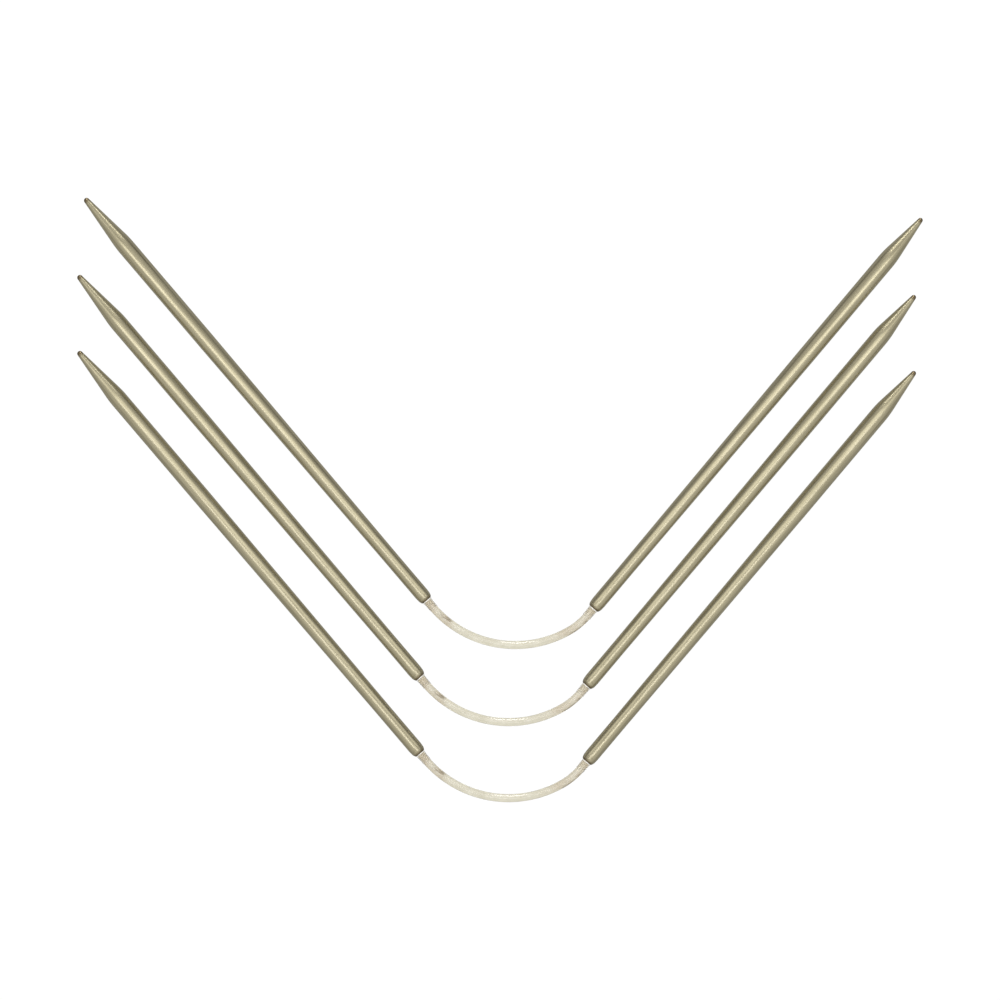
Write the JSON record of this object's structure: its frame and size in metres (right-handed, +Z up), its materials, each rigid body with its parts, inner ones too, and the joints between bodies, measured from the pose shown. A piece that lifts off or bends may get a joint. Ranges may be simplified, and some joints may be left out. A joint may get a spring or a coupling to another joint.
{
  "type": "flexible double pointed knitting needles",
  "caption": "Double-pointed knitting needles with flexible cord middles: hollow metal shafts with pointed ends joined by short nylon cords, nested in V shapes.",
  "frame": {"origin": "on the table, under the centre of the set's box", "axes": "+X along the row of points, from the plain points to the fine points; +Y away from the knitter, towards the points; +Z up off the table"},
  "size_m": [0.1446, 0.1034, 0.003],
  "materials": {
    "shaft_metal": "satin champagne plating",
    "ferrule_steel": "turned",
    "join_nylon": "clear",
    "cord_nylon": "translucent"
  },
  "bodies": {
    "back_left": {"back_left_shaft": "shaft_metal", "back_left_ferrule": "ferrule_steel", "back_left_flare": "join_nylon", "back_left_cord_end": "cord_nylon"},
    "back_right": {"back_right_shaft": "shaft_metal", "back_right_ferrule": "ferrule_steel", "back_right_flare": "join_nylon", "back_right_cord_end": "cord_nylon"},
    "back_link_01": {"back_cord_01": "cord_nylon"},
    "back_link_02": {"back_cord_02": "cord_nylon"},
    "back_link_03": {"back_cord_03": "cord_nylon"},
    "back_link_04": {"back_cord_04": "cord_nylon"},
    "back_link_05": {"back_cord_05": "cord_nylon"},
    "back_link_06": {"back_cord_06": "cord_nylon"},
    "back_link_07": {"back_cord_07": "cord_nylon"},
    "middle_left": {"middle_left_shaft": "shaft_metal", "middle_left_ferrule": "ferrule_steel", "middle_left_flare": "join_nylon", "middle_left_cord_end": "cord_nylon"},
    "middle_right": {"middle_right_shaft": "shaft_metal", "middle_right_ferrule": "ferrule_steel", "middle_right_flare": "join_nylon", "middle_right_cord_end": "cord_nylon"},
    "middle_link_01": {"middle_cord_01": "cord_nylon"},
    "middle_link_02": {"middle_cord_02": "cord_nylon"},
    "middle_link_03": {"middle_cord_03": "cord_nylon"},
    "middle_link_04": {"middle_cord_04": "cord_nylon"},
    "middle_link_05": {"middle_cord_05": "cord_nylon"},
    "middle_link_06": {"middle_cord_06": "cord_nylon"},
    "middle_link_07": {"middle_cord_07": "cord_nylon"},
    "front_left": {"front_left_shaft": "shaft_metal", "front_left_ferrule": "ferrule_steel", "front_left_flare": "join_nylon", "front_left_cord_end": "cord_nylon"},
    "front_right": {"front_right_shaft": "shaft_metal", "front_right_ferrule": "ferrule_steel", "front_right_flare": "join_nylon", "front_right_cord_end": "cord_nylon"},
    "front_link_01": {"front_cord_01": "cord_nylon"},
    "front_link_02": {"front_cord_02": "cord_nylon"},
    "front_link_03": {"front_cord_03": "cord_nylon"},
    "front_link_04": {"front_cord_04": "cord_nylon"},
    "front_link_05": {"front_cord_05": "cord_nylon"},
    "front_link_06": {"front_cord_06": "cord_nylon"},
    "front_link_07": {"front_cord_07": "cord_nylon"}
  },
  "joints": [
    {"name": "back_lift", "type": "slide", "parent": "front_left", "child": "back_left", "axis": [0, 0, 1], "range_m": [0, 0.05]},
    {"name": "back_close_1", "type": "hinge", "parent": "back_left", "child": "back_link_01", "pos_m": [-0.01017, -0.01972, 0.0015], "axis": [0, 0, 1], "range_deg": [0, 10.06], "stiffness_Nm_per_rad": 0.03, "deforming": ["back_cord_01"]},
    {"name": "back_close_2", "type": "hinge", "parent": "back_link_01", "child": "back_link_02", "pos_m": [-0.00696, -0.02216, 0.0015], "axis": [0, 0, 1], "range_deg": [0, 10.06], "stiffness_Nm_per_rad": 0.03, "deforming": ["back_cord_02"]},
    {"name": "back_close_3", "type": "hinge", "parent": "back_link_02", "child": "back_link_03", "pos_m": [-0.0033, -0.02384, 0.0015], "axis": [0, 0, 1], "range_deg": [0, 10.06], "stiffness_Nm_per_rad": 0.03, "deforming": ["back_cord_03"]},
    {"name": "back_close_4", "type": "hinge", "parent": "back_link_03", "child": "back_link_04", "pos_m": [0.00064, -0.0247, 0.0015], "axis": [0, 0, 1], "range_deg": [0, 10.06], "stiffness_Nm_per_rad": 0.03, "deforming": ["back_cord_04"]},
    {"name": "back_close_5", "type": "hinge", "parent": "back_link_04", "child": "back_link_05", "pos_m": [0.00467, -0.02469, 0.0015], "axis": [0, 0, 1], "range_deg": [0, 10.06], "stiffness_Nm_per_rad": 0.03, "deforming": ["back_cord_05"]},
    {"name": "back_close_6", "type": "hinge", "parent": "back_link_05", "child": "back_link_06", "pos_m": [0.0086, -0.02381, 0.0015], "axis": [0, 0, 1], "range_deg": [0, 10.06], "stiffness_Nm_per_rad": 0.03, "deforming": ["back_cord_06"]},
    {"name": "back_close_7", "type": "hinge", "parent": "back_link_06", "child": "back_link_07", "pos_m": [0.01207, -0.02222, 0.0015], "axis": [0, 0, 1], "range_deg": [0, 10.06], "stiffness_Nm_per_rad": 0.03, "deforming": ["back_cord_07"]},
    {"name": "back_close_8", "type": "hinge", "parent": "back_link_07", "child": "back_right", "pos_m": [0.01413, -0.02063, 0.0015], "axis": [0, 0, 1], "range_deg": [0, 10.06], "stiffness_Nm_per_rad": 0.03},
    {"name": "middle_lift", "type": "slide", "parent": "front_left", "child": "middle_left", "axis": [0, 0, 1], "range_m": [0, 0.05]},
    {"name": "middle_fold_1", "type": "hinge", "parent": "middle_left", "child": "middle_link_01", "pos_m": [-0.01132, -0.0329, 0.0015], "axis": [-0.6868, -0.7268, 0], "range_deg": [0, 18.75], "stiffness_Nm_per_rad": 0.03, "deforming": ["middle_cord_01"]},
    {"name": "middle_fold_2", "type": "hinge", "parent": "middle_link_01", "child": "middle_link_02", "pos_m": [-0.00811, -0.03534, 0.0015], "axis": [-0.5142, -0.8577, 0], "range_deg": [0, 18.75], "stiffness_Nm_per_rad": 0.03, "deforming": ["middle_cord_02"]},
    {"name": "middle_fold_3", "type": "hinge", "parent": "middle_link_02", "child": "middle_link_03", "pos_m": [-0.00445, -0.03702, 0.0015], "axis": [-0.3174, -0.9483, 0], "range_deg": [0, 18.75], "stiffness_Nm_per_rad": 0.03, "deforming": ["middle_cord_03"]},
    {"name": "middle_fold_4", "type": "hinge", "parent": "middle_link_03", "child": "middle_link_04", "pos_m": [-0.00051, -0.03788, 0.0015], "axis": [-0.1057, -0.9944, 0], "range_deg": [0, 18.75], "stiffness_Nm_per_rad": 0.03, "deforming": ["middle_cord_04"]},
    {"name": "middle_fold_5", "type": "hinge", "parent": "middle_link_04", "child": "middle_link_05", "pos_m": [0.00352, -0.03787, 0.0015], "axis": [0.1109, -0.9938, 0], "range_deg": [0, 18.75], "stiffness_Nm_per_rad": 0.03, "deforming": ["middle_cord_05"]},
    {"name": "middle_fold_6", "type": "hinge", "parent": "middle_link_05", "child": "middle_link_06", "pos_m": [0.00745, -0.03699, 0.0015], "axis": [0.3224, -0.9466, 0], "range_deg": [0, 18.75], "stiffness_Nm_per_rad": 0.03, "deforming": ["middle_cord_06"]},
    {"name": "middle_fold_7", "type": "hinge", "parent": "middle_link_06", "child": "middle_link_07", "pos_m": [0.01092, -0.0354, 0.0015], "axis": [0.5187, -0.855, 0], "range_deg": [0, 18.75], "stiffness_Nm_per_rad": 0.03, "deforming": ["middle_cord_07"]},
    {"name": "middle_fold_8", "type": "hinge", "parent": "middle_link_07", "child": "middle_right", "pos_m": [0.01298, -0.03381, 0.0015], "axis": [0.6906, -0.7232, 0], "range_deg": [0, 18.75], "stiffness_Nm_per_rad": 0.03},
    {"name": "front_open_1", "type": "hinge", "parent": "front_left", "child": "front_link_01", "pos_m": [-0.01132, -0.0459, 0.0015], "axis": [0, 0, -1], "range_deg": [0, 12.44], "stiffness_Nm_per_rad": 0.03, "deforming": ["front_cord_01"]},
    {"name": "front_open_2", "type": "hinge", "parent": "front_link_01", "child": "front_link_02", "pos_m": [-0.00811, -0.04834, 0.0015], "axis": [0, 0, -1], "range_deg": [0, 12.44], "stiffness_Nm_per_rad": 0.03, "deforming": ["front_cord_02"]},
    {"name": "front_open_3", "type": "hinge", "parent": "front_link_02", "child": "front_link_03", "pos_m": [-0.00445, -0.05002, 0.0015], "axis": [0, 0, -1], "range_deg": [0, 12.44], "stiffness_Nm_per_rad": 0.03, "deforming": ["front_cord_03"]},
    {"name": "front_open_4", "type": "hinge", "parent": "front_link_03", "child": "front_link_04", "pos_m": [-0.00051, -0.05088, 0.0015], "axis": [0, 0, -1], "range_deg": [0, 12.44], "stiffness_Nm_per_rad": 0.03, "deforming": ["front_cord_04"]},
    {"name": "front_open_5", "type": "hinge", "parent": "front_link_04", "child": "front_link_05", "pos_m": [0.00352, -0.05087, 0.0015], "axis": [0, 0, -1], "range_deg": [0, 12.44], "stiffness_Nm_per_rad": 0.03, "deforming": ["front_cord_05"]},
    {"name": "front_open_6", "type": "hinge", "parent": "front_link_05", "child": "front_link_06", "pos_m": [0.00745, -0.04999, 0.0015], "axis": [0, 0, -1], "range_deg": [0, 12.44], "stiffness_Nm_per_rad": 0.03, "deforming": ["front_cord_06"]},
    {"name": "front_open_7", "type": "hinge", "parent": "front_link_06", "child": "front_link_07", "pos_m": [0.01092, -0.0484, 0.0015], "axis": [0, 0, -1], "range_deg": [0, 12.44], "stiffness_Nm_per_rad": 0.03, "deforming": ["front_cord_07"]},
    {"name": "front_open_8", "type": "hinge", "parent": "front_link_07", "child": "front_right", "pos_m": [0.01298, -0.04681, 0.0015], "axis": [0, 0, -1], "range_deg": [0, 12.44], "stiffness_Nm_per_rad": 0.03}
  ]
}
